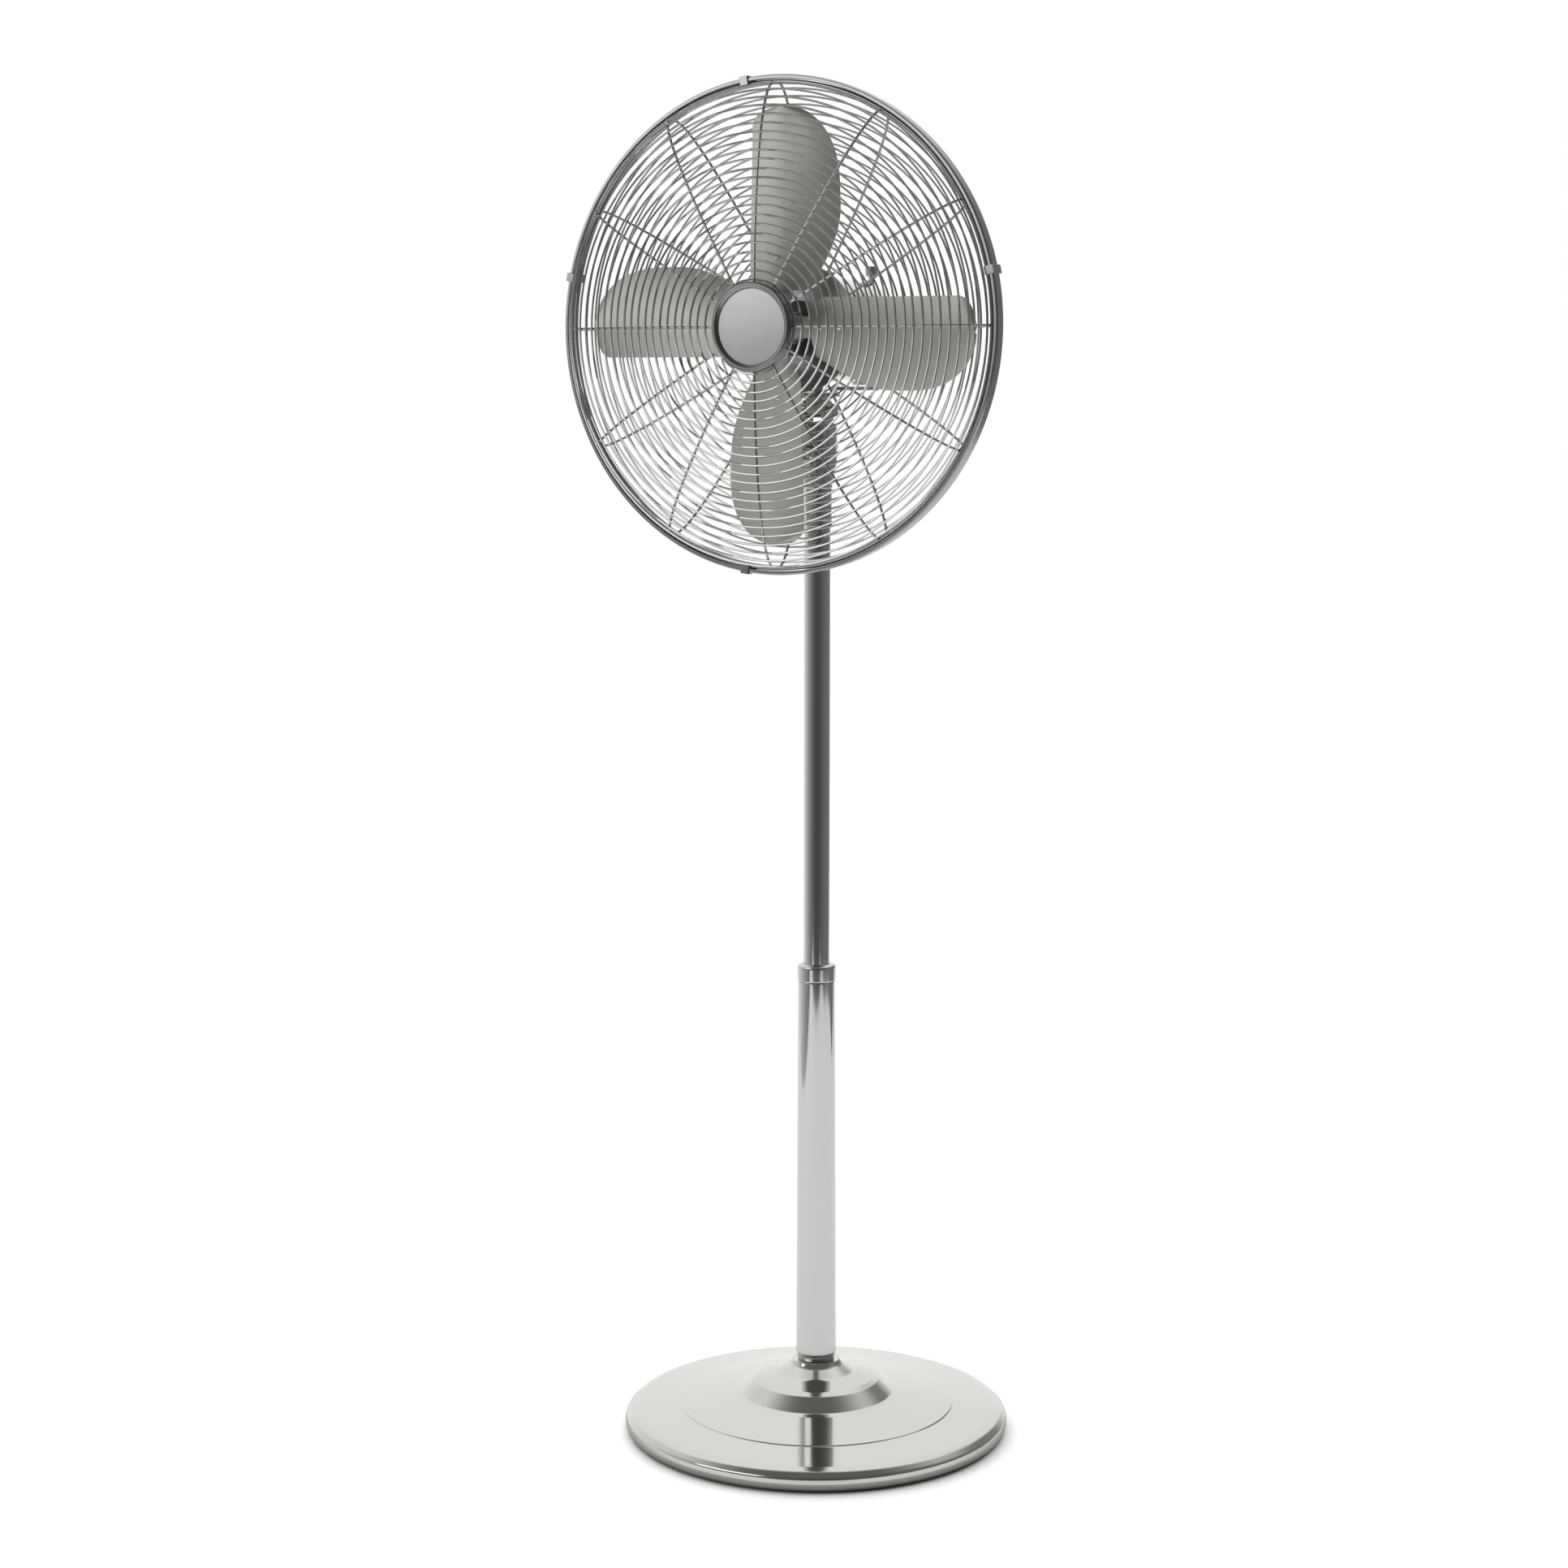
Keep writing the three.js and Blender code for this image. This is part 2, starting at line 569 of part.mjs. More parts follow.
// One twisted blade, pointing along +X. Its straight edge is nearer the front.
function bladeGeometry() {
  const rows = 11;
  const columns = 5;
  const points = [];
  for (const face of [-0.5, 0.5]) {
    for (let i = 0; i <= rows; i += 1) {
      const radius = BLADE.root + (BLADE.tip - BLADE.root) * Math.sin(((i / rows) * Math.PI) / 2);
      const along = (radius - BLADE.root) / (BLADE.tip - BLADE.root);
      const [low, high] = bladeEdges(radius);
      const pitch = THREE.MathUtils.degToRad(BLADE.rootPitch + (BLADE.tipPitch - BLADE.rootPitch) * along);
      for (let k = 0; k <= columns; k += 1) {
        const across = low + ((high - low) * k) / columns;
        const camber = BLADE.camber * (1 - (2 * (k / columns) - 1) ** 2);
        const depth = across * Math.tan(pitch) - camber + face * BLADE.thickness;
        points.push([radius, depth, -across]);
      }
    }
  }
  const width = columns + 1;
  const layer = (rows + 1) * width;
  const faces = [];
  const quad = (a, b, c, d) => faces.push(a, b, c, a, c, d);
  for (let i = 0; i < rows; i += 1) {
    for (let k = 0; k < columns; k += 1) {
      const a = i * width + k;
      quad(a, a + 1, a + width + 1, a + width);
      quad(layer + a, layer + a + width, layer + a + width + 1, layer + a + 1);
    }
  }
  const border = [];
  for (let k = 0; k < columns; k += 1) border.push(k);
  for (let i = 0; i < rows; i += 1) border.push(i * width + columns);
  for (let k = columns; k > 0; k -= 1) border.push(rows * width + k);
  for (let i = rows; i > 0; i -= 1) border.push(i * width);
  border.forEach((a, i) => {
    const b = border[(i + 1) % border.length];
    quad(a, a + layer, b + layer, b);
  });
  const geometry = new THREE.BufferGeometry();
  geometry.setAttribute("position", new THREE.Float32BufferAttribute(points.flat(), 3));
  geometry.setIndex(faces);
  return geometry;
}

function addBlades() {
  const bladeSolid = solid(bladeGeometry());
  for (let i = 0; i < BLADE.count; i += 1) {
    const angle = (i * 2 * Math.PI) / BLADE.count;
    piece(head, `blade_${i + 1}`, bladeSolid, satin, [0, BLADE.y, 0], [0, -angle, 0]);
  }
  // The hub's four arms lie behind the blades, bent to the blades' pitch.
  const armPitch = THREE.MathUtils.degToRad(BLADE.rootPitch - 2);
  const boss = ringOf(band(4 + GAP, 16, BLADE.y - 7, BLADE.y + 16), 24);
  const arms = [0, 1, 2, 3].map((i) =>
    box(58, 2, 20, [41, 0, 0])
      .rotateX(armPitch)
      .translate(0, BLADE.y + 3.2, 0)
      .rotateY((i * Math.PI) / 2),
  );
  const bore = turned(rod(4 + GAP, BLADE.y - 20, BLADE.y + 30), 16);
  piece(head, "blade_hub", cut(joined(boss, ...arms), bore), aluminium);
  const nut = [[4 + GAP, -96], [11, -96], [14, -94], [14, BLADE.y - 7 - GAP], [4 + GAP, BLADE.y - 7 - GAP]];
  piece(head, "blade_nut", ringOf(nut, 20), satin);
}

addBase();
addLowerPole();
addMast();
addTiltBlock();
addMotorShells();
addMotorInsides();
addOscillation();
addGuards();
addBlades();

export default fan;
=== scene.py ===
"""Looks of the pedestal fan: fine chrome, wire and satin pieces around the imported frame.

Lengths inside the script are millimetres, turned into metres by MM where a mesh is made.
The pole's axis is Z, the motor's axis runs along Y, and the fan faces -Y.
"""

import json
import math

import bpy
import bmesh
from mathutils import Matrix, Vector


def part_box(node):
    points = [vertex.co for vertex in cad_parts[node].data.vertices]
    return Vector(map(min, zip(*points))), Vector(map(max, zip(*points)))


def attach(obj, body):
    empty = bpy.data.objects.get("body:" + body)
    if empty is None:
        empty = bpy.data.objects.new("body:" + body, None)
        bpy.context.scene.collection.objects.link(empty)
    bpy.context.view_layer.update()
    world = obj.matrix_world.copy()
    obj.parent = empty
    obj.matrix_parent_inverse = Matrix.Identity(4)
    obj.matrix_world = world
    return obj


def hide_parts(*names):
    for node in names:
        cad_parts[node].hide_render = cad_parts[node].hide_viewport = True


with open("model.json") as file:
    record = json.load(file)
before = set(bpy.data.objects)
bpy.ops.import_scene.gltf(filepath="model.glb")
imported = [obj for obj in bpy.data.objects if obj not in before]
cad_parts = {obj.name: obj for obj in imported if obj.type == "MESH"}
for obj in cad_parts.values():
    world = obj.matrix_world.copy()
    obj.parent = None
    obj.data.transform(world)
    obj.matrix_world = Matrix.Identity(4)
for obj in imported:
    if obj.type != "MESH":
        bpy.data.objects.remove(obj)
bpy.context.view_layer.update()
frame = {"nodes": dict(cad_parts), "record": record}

MM = 0.001
FINE = 144  # segments round a large turned piece
SMALL = 64  # segments round a small one


def extent(node):
    """(low corner, high corner) of a CAD node in millimetres."""
    low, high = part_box(node)
    return low / MM, high / MM


HEAD_Z = sum(corner.z for corner in extent("rim_band")) / 2
RIM_Y = sum(corner.y for corner in extent("rim_band")) / 2
RIM_RADIUS = (extent("rim_band")[1].x - extent("rim_band")[0].x) / 2


# ---- materials ----


class Material:
    """A principled material whose node tree is built up by small calls."""

    def __init__(self, name, color, metallic=1.0, roughness=0.3):
        self.data = bpy.data.materials.new(name)
        self.data.use_nodes = True
        self.nodes = self.data.node_tree.nodes
        self.links = self.data.node_tree.links
        self.shader = self.nodes["Principled BSDF"]
        self.shader.inputs["Base Color"].default_value = (*color, 1)
        self.shader.inputs["Metallic"].default_value = metallic
        self.shader.inputs["Roughness"].default_value = roughness
        self.coordinates = self.nodes.new("ShaderNodeTexCoord").outputs["Object"]
        self.bumps = []

    def noise(self, scale, detail=3.0, stretch=(1, 1, 1)):
        """A noise pattern in the piece's own space; scale is in features per metre."""
        mapping = self.nodes.new("ShaderNodeMapping")
        mapping.inputs["Scale"].default_value = stretch
        self.links.new(self.coordinates, mapping.inputs["Vector"])
        noise = self.nodes.new("ShaderNodeTexNoise")
        noise.inputs["Scale"].default_value = scale
        noise.inputs["Detail"].default_value = detail
        self.links.new(mapping.outputs["Vector"], noise.inputs["Vector"])
        return noise.outputs["Fac"]

    def rings(self, axis, centre, scale, distortion=0.6):
        """Fine concentric lines round an axis, as a lathe or a polishing wheel leaves."""
        mapping = self.nodes.new("ShaderNodeMapping")
        mapping.inputs["Location"].default_value = tuple(-value * MM for value in centre)
        self.links.new(self.coordinates, mapping.inputs["Vector"])
        wave = self.nodes.new("ShaderNodeTexWave")
        wave.wave_type = "RINGS"
        wave.rings_direction = axis
        wave.inputs["Scale"].default_value = scale
        wave.inputs["Distortion"].default_value = distortion
        wave.inputs["Detail"].default_value = 4
        self.links.new(mapping.outputs["Vector"], wave.inputs["Vector"])
        return wave.outputs["Fac"]

    def ranged(self, value, low, high):
        """Maps a 0 to 1 pattern onto low to high."""
        node = self.nodes.new("ShaderNodeMapRange")
        node.inputs["To Min"].default_value = low
        node.inputs["To Max"].default_value = high
        self.links.new(value, node.inputs["Value"])
        return node.outputs["Result"]

    def vary_roughness(self, pattern, low, high):
        self.links.new(self.ranged(pattern, low, high), self.shader.inputs["Roughness"])
        return self

    def vary_color(self, pattern, dark, light):
        mix = self.nodes.new("ShaderNodeMix")
        mix.data_type = "RGBA"
        mix.inputs["A"].default_value = (*dark, 1)
        mix.inputs["B"].default_value = (*light, 1)
        self.links.new(pattern, mix.inputs["Factor"])
        self.links.new(mix.outputs["Result"], self.shader.inputs["Base Color"])
        return self

    def bump(self, pattern, strength, distance):
        """Adds relief; distance is in millimetres."""
        node = self.nodes.new("ShaderNodeBump")
        node.inputs["Strength"].default_value = strength
        node.inputs["Distance"].default_value = distance * MM
        self.links.new(pattern, node.inputs["Height"])
        if self.bumps:
            self.links.new(self.bumps[-1].outputs["Normal"], node.inputs["Normal"])
        self.links.new(node.outputs["Normal"], self.shader.inputs["Normal"])
        self.bumps.append(node)
        return self


def make_materials():
    chrome = Material("chrome_plate", (0.58, 0.585, 0.575), 1, 0.05)
    chrome.vary_roughness(chrome.noise(9, 5), 0.03, 0.11)
    chrome.vary_color(chrome.noise(5, 2), (0.555, 0.56, 0.55), (0.605, 0.61, 0.60))
    chrome.bump(chrome.noise(14, 1), 0.1, 0.1)

    pressed = Material("chrome_pressed", (0.58, 0.59, 0.56), 1, 0.07)
    pressed.vary_roughness(pressed.noise(12, 6), 0.05, 0.14)
    pressed.vary_color(pressed.noise(4, 2), (0.555, 0.565, 0.53), (0.61, 0.62, 0.59))
    pressed.bump(pressed.noise(13, 1), 0.3, 0.5)

    satin = Material("satin_metal", (0.56, 0.565, 0.515), 1, 0.42)
    satin.vary_roughness(satin.noise(60, 4), 0.38, 0.5)
    satin.vary_color(satin.noise(16, 3), (0.525, 0.53, 0.48), (0.595, 0.6, 0.55))
    satin.bump(satin.noise(900, 2, (1, 1, 0.15)), 0.15, 0.03)

    neck = Material("neck_metal", (0.52, 0.525, 0.50), 1, 0.18)
    neck.vary_roughness(neck.noise(50, 5), 0.12, 0.26)
    neck.bump(neck.noise(500, 2, (1, 1, 8)), 0.1, 0.02)

    wire = Material("bright_wire", (0.47, 0.475, 0.465), 1, 0.18)
    wire.vary_roughness(wire.noise(120, 4), 0.12, 0.28)
    wire.bump(wire.noise(900, 2), 0.1, 0.02)

    rim = Material("rim_plate", (0.36, 0.365, 0.36), 1, 0.22)
    rim.vary_roughness(rim.noise(40, 5), 0.16, 0.32)
    rim.bump(rim.noise(30, 2), 0.15, 0.1)

    badge_centre = (0, 0, HEAD_Z)
    brushed = Material("brushed_disc", (0.53, 0.545, 0.535), 0.85, 0.4)
    lines = brushed.rings("Y", badge_centre, 420, 1.5)
    brushed.vary_roughness(lines, 0.34, 0.5)
    brushed.vary_color(brushed.noise(40, 4), (0.5, 0.515, 0.505), (0.56, 0.575, 0.565))
    brushed.bump(lines, 0.12, 0.02)

    dark_ring = Material("turned_ring", (0.26, 0.265, 0.26), 1, 0.26)
    dark_ring.vary_roughness(dark_ring.noise(80, 4), 0.2, 0.34)
    dark_ring.bump(dark_ring.rings("Y", badge_centre, 500), 0.08, 0.02)

    steel = Material("machined_steel", (0.48, 0.48, 0.47), 1, 0.32)
    steel.vary_roughness(steel.noise(150, 4), 0.24, 0.42)
    steel.bump(steel.noise(700, 2, (1, 8, 1)), 0.15, 0.03)

    cast = Material("cast_iron", (0.05, 0.05, 0.052), 0.3, 0.7)
    cast.vary_roughness(cast.noise(90, 5), 0.6, 0.85)
    cast.bump(cast.noise(300, 6), 0.6, 0.4)

    aluminium = Material("die_cast", (0.52, 0.53, 0.53), 1, 0.4)
    aluminium.vary_roughness(aluminium.noise(120, 4), 0.34, 0.52)
    aluminium.bump(aluminium.noise(500, 4), 0.2, 0.06)

    copper = Material("winding", (0.45, 0.2, 0.09), 1, 0.4)
    copper.vary_roughness(copper.noise(200, 4), 0.3, 0.5)
    copper.bump(copper.rings("Y", badge_centre, 150, 0.5), 0.6, 0.3)

    rivet = Material("rivet_head", (0.8, 0.8, 0.79), 1, 0.22)
    rivet.vary_roughness(rivet.noise(300, 3), 0.16, 0.3)
    rivet.bump(rivet.noise(1200, 2), 0.1, 0.02)

    brass = Material("brass", (0.6, 0.44, 0.18), 1, 0.28)
    brass.vary_roughness(brass.noise(120, 4), 0.2, 0.38)
    brass.bump(brass.noise(600, 2), 0.1, 0.03)

    black = Material("black_plastic", (0.014, 0.014, 0.015), 0, 0.4)
    black.vary_roughness(black.noise(90, 4), 0.34, 0.5)
    black.bump(black.noise(1600, 2), 0.25, 0.05)

    grey = Material("grey_plastic", (0.06, 0.062, 0.065), 0, 0.45)
    grey.vary_roughness(grey.noise(90, 4), 0.38, 0.55)
    grey.bump(grey.noise(1400, 2), 0.25, 0.05)

    rubber = Material("rubber", (0.012, 0.012, 0.012), 0, 0.75)
    rubber.vary_roughness(rubber.noise(200, 4), 0.65, 0.9)
    rubber.bump(rubber.noise(900, 3), 0.4, 0.08)

    return {
        "chrome": chrome.data,
        "pressed": pressed.data,
        "satin": satin.data,
        "neck": neck.data,
        "wire": wire.data,
        "brushed": brushed.data,
        "ring": dark_ring.data,
        "steel": steel.data,
        "cast": cast.data,
        "aluminium": aluminium.data,
        "copper": copper.data,
        "brass": brass.data,
        "rivet": rivet.data,
        "rim": rim.data,
        "black": black.data,
        "grey": grey.data,
        "rubber": rubber.data,
    }


MATERIALS = make_materials()


# ---- mesh helpers ----


def add_object(name, vertices, faces, material, sharp=35):
    """A mesh object from millimetre points, smooth except over edges sharper than the angle."""
    mesh = bpy.data.meshes.new(name)
    mesh.from_pydata([tuple(value * MM for value in point) for point in vertices], [], faces)
    mesh.validate()
    mesh.polygons.foreach_set("use_smooth", [True] * len(mesh.polygons))
    mesh.set_sharp_from_angle(angle=math.radians(sharp))
    mesh.materials.append(MATERIALS[material])
    piece = bpy.data.objects.new(name, mesh)
    bpy.context.scene.collection.objects.link(piece)
    return piece


def settle(piece, body, slot, *nodes):
    """Puts a piece on its body and hides the CAD nodes it stands for; the slot is not used."""
    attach(piece, body)
    if nodes:
        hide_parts(*nodes)
    return piece


def rounded(outline, closed=True, steps=5):
    """Turns (x, y, radius) corners into points, with each corner's radius as an arc."""
    points = []
    count = len(outline)
    for index, corner in enumerate(outline):
        here = Vector(corner[:2])
        radius = corner[2] if len(corner) > 2 else 0
        inner = closed or 0 < index < count - 1
        if not radius or not inner:
            points.append(tuple(here))
            continue
        back = Vector(outline[index - 1][:2]) - here
        ahead = Vector(outline[(index + 1) % count][:2]) - here
        half = back.angle(ahead) / 2
        reach = min(radius / math.tan(half), 0.49 * back.length, 0.49 * ahead.length)
        start, end = here + back.normalized() * reach, here + ahead.normalized() * reach
        for step in range(steps + 1):
            share = step / steps
            first = start.lerp(here, share)
            second = here.lerp(end, share)
            points.append(tuple(first.lerp(second, share)))
    return points


def braced(outline, closed, margin=0.4):
    """Adds points near both ends of long straight runs, so that bent edges don't shade them."""
    points = []
    pairs = zip(outline, outline[1:] + outline[:1])
    for start, end in pairs:
        points.append(start)
        length = math.dist(start, end)
        if length > 8 * margin:
            for share in (margin / length, 1 - margin / length):
                points.append(tuple(a + (b - a) * share for a, b in zip(start, end)))
    if not closed:
        while points[-1] != outline[-1]:
            points.pop()
    return points


def turned(name, outline, material, axis="Z", centre=(0, 0, 0), segments=FINE, closed=True):
    """A body turned about an axis from a (radius, along) outline in millimetres.

    A closed outline makes a ring; an open one starts and ends on the axis.
    """
    outline = braced([(max(radius, 0), along) for radius, along in outline], closed)
    vertices, faces, rows = [], [], []
    for radius, along in outline:
        row = []
        copies = 1 if radius < 1e-6 else segments
        for step in range(copies):
            angle = 2 * math.pi * step / segments
            across, up = radius * math.cos(angle), radius * math.sin(angle)
            point = (across, up, along) if axis == "Z" else (across, along, up)
            row.append(len(vertices))
            vertices.append(tuple(value + shift for value, shift in zip(point, centre)))
        rows.append(row)
    pairs = list(zip(rows, rows[1:] + rows[:1])) if closed else list(zip(rows, rows[1:]))
    for low, high in pairs:
        for step in range(segments):
            ahead = (step + 1) % segments
            corners = [low[step % len(low)], low[ahead % len(low)]]
            corners += [high[ahead % len(high)], high[step % len(high)]]
            unique = list(dict.fromkeys(corners))
            if len(unique) > 2:
                faces.append(unique)
    piece = add_object(name, vertices, faces, material)
    face_outward(piece)
    return piece


def face_outward(piece):
    """Turns every face of a closed mesh outwards."""
    mesh = bmesh.new()
    mesh.from_mesh(piece.data)
    bmesh.ops.recalc_face_normals(mesh, faces=mesh.faces)
    if mesh.calc_volume(signed=True) < 0:
        bmesh.ops.reverse_faces(mesh, faces=mesh.faces)
    mesh.to_mesh(piece.data)
    mesh.free()


def tube(path, radius, sides=8, closed=False):
    """Points and faces of a round wire along a path of vectors."""
    vertices, faces = [], []
    count = len(path)
    normal = None
    for index, point in enumerate(path):
        before = path[index - 1] if closed or index else point
        after = path[(index + 1) % count] if closed or index < count - 1 else point
        along = (after - before).normalized()
        if normal is None:
            normal = along.orthogonal().normalized()
        normal = (normal - along * normal.dot(along)).normalized()
        side = along.cross(normal)
        for step in range(sides):
            angle = 2 * math.pi * step / sides
            offset = normal * math.cos(angle) + side * math.sin(angle)
            vertices.append(tuple(point + offset * radius))
    last = count if closed else count - 1
    for index in range(last):
        low, high = index * sides, ((index + 1) % count) * sides
        for step in range(sides):
            ahead = (step + 1) % sides
            faces.append((low + step, low + ahead, high + ahead, high + step))
    if not closed:
        faces.append(tuple(range(sides))[::-1])
        faces.append(tuple(range((count - 1) * sides, count * sides)))
    return vertices, faces


def gather(parts):
    """Joins several (vertices, faces) parts into one pair of lists."""
    vertices, faces = [], []
    for part_vertices, part_faces in parts:
        start = len(vertices)
        vertices += part_vertices
        faces += [tuple(index + start for index in face) for face in part_faces]
    return vertices, faces


BODY_OF = {
    node: body for body, nodes in frame["record"]["behaviour"]["bodies"].items() for node in nodes
}
SLOT_OF = {part["node"]: part["material_slot"] for part in frame["record"]["subparts"]}


def softened(node, material, width):
    """A fine copy of a CAD node with rolled edges; width is the roll in millimetres."""
    source = frame["nodes"][node]
    piece = bpy.data.objects.new(f"{node}_fine", source.data.copy())
    piece.matrix_world = source.matrix_world.copy()
    bpy.context.scene.collection.objects.link(piece)
    mesh = bmesh.new()
    mesh.from_mesh(piece.data)
    bmesh.ops.remove_doubles(mesh, verts=mesh.verts, dist=0.002 * MM)
    flat = math.radians(0.5)
    bmesh.ops.dissolve_limit(mesh, angle_limit=flat, verts=mesh.verts, edges=mesh.edges)
    mesh.to_mesh(piece.data)
    mesh.free()
    piece.data.polygons.foreach_set("use_smooth", [True] * len(piece.data.polygons))
    piece.data.materials.clear()
    piece.data.materials.append(MATERIALS[material])
    bevel = piece.modifiers.new("rolled_edges", "BEVEL")
    bevel.width = width * MM
    bevel.segments = 3
    bevel.angle_limit = math.radians(32)
    piece.modifiers.new("even_shading", "WEIGHTED_NORMAL")
    return settle(piece, BODY_OF[node], SLOT_OF[node], node)


# ---- studio ----

CAMERA_AZIMUTH = math.radians(28.4)
CAMERA_DISTANCE = 2.859
CAMERA_HEIGHT = 1.036
CAMERA_PITCH = math.radians(7.75)
CAMERA_PAN = math.radians(0.64)
CAMERA_LENS = 68.2
TO_CAMERA = Vector((math.sin(CAMERA_AZIMUTH), -math.cos(CAMERA_AZIMUTH), 0))
TO_LEFT = Vector((-math.cos(CAMERA_AZIMUTH), -math.sin(CAMERA_AZIMUTH), 0))


def add_camera():
    data = bpy.data.cameras.new("camera")
    data.lens = CAMERA_LENS
    camera = bpy.data.objects.new("camera", data)
    camera.location = TO_CAMERA * CAMERA_DISTANCE + Vector((0, 0, CAMERA_HEIGHT))
    heading = CAMERA_AZIMUTH + CAMERA_PAN
    camera.rotation_euler = (math.pi / 2 - CAMERA_PITCH, 0, heading)
    bpy.context.scene.collection.objects.link(camera)
    bpy.context.scene.camera = camera


# Corners of the paper sheet in metres: towards the camera, then to the right. Its front and side edges
# were placed one by one, because the lower pole mirrors them.
PAPER_FRONT = [(2.1, -1.5), (2.1, 1.2), (0.8, 2.1), (0, 2.1), (-0.5, 1.6)]
PAPER_BACK = [(-14, 5), (-14, -5), (-0.5, -1.5)]

# Painted contact shade on the paper, which only mirrors show: its level (1 is as the camera sees it)
# near the base and farther out, and the radii in metres between which the level changes.
PAINTED_CONTACT_SHADE = {"near": 0.45, "far": 0.86, "inner_radius": 0.2, "outer_radius": 0.28}


def add_floor():
    """A pale paper sheet under the fan."""
    outline = PAPER_FRONT + PAPER_BACK
    corners = [tuple((TO_CAMERA * ahead - TO_LEFT * right) / MM) for ahead, right in outline]
    floor = add_object("floor", corners, [tuple(range(len(corners)))], "floor")


def make_paper():
    """Floor paper with a painted contact shadow that only mirrors show: darker than the camera sees it,
    most of all close round the base.
    """
    paper = Material("floor_paper", (0.9, 0.9, 0.895), 0, 0.85)
    paper.bump(paper.noise(60, 3), 0.05, 0.4)
    nodes, links = paper.nodes, paper.links
    distance = nodes.new("ShaderNodeVectorMath")
    distance.operation = "LENGTH"
    links.new(paper.coordinates, distance.inputs[0])
    shade = nodes.new("ShaderNodeMapRange")
    shade.interpolation_type = "SMOOTHSTEP"
    shade.inputs["From Min"].default_value = PAINTED_CONTACT_SHADE["inner_radius"]
    shade.inputs["From Max"].default_value = PAINTED_CONTACT_SHADE["outer_radius"]
    shade.inputs["To Min"].default_value = PAINTED_CONTACT_SHADE["near"]
    shade.inputs["To Max"].default_value = PAINTED_CONTACT_SHADE["far"]
    links.new(distance.outputs["Value"], shade.inputs["Value"])
    # Camera rays see the plain paper colour; every other ray sees the painted contact shade round the
    # base.
    camera_or_painted_shade = nodes.new("ShaderNodeMath")
    camera_or_painted_shade.operation = "MAXIMUM"
    links.new(nodes.new("ShaderNodeLightPath").outputs["Is Camera Ray"], camera_or_painted_shade.inputs[0])
    links.new(shade.outputs["Result"], camera_or_painted_shade.inputs[1])
    paper.vary_color(camera_or_painted_shade.outputs["Value"], (0, 0, 0), (0.9, 0.9, 0.895))
    return paper.data


def add_softbox(name, place, target, size, power):
    """A rectangular lamp, which bright metal mirrors."""
    data = bpy.data.lights.new(name, "AREA")
    data.shape = "RECTANGLE"
    data.size, data.size_y = size
    data.energy = power
    light = bpy.data.objects.new(name, data)
    light.location = place
    light.rotation_euler = (target - place).to_track_quat("-Z", "Y").to_euler()
    bpy.context.scene.collection.objects.link(light)


SKY_STRENGTH = 2.4
SKY_SPREAD = math.radians(100)
SKY_LEAN = 0.35  # how far behind the fan the sky light stands, for each metre of height


def add_sky_light():
    """Wide light from above and a little behind, which whitens the floor."""
    data = bpy.data.lights.new("sky_light", "SUN")
    data.energy = SKY_STRENGTH
    data.angle = SKY_SPREAD
    light = bpy.data.objects.new("sky_light", data)
    source = Vector((0, 0, 1)) - TO_CAMERA * SKY_LEAN
    light.rotation_euler = (-source).to_track_quat("-Z", "Y").to_euler()
    light.visible_glossy = False
    bpy.context.scene.collection.objects.link(light)


# Brightness of the surroundings that metal mirrors: degrees to the right of the camera's side, then the
# level. The levels were set to suit the reflections in the poles, so they are uneven.
STUDIO_LEVELS = [
    (-180, 1.12), (-150, 1.1), (-118, 0.89), (-75, 0.43), (-43, 0.2), (-14, 0.1), (14, 0.09),
    (43, 0.14), (75, 0.2), (118, 0.24), (140, 0.32), (158, 1.08), (180, 1.12),
]


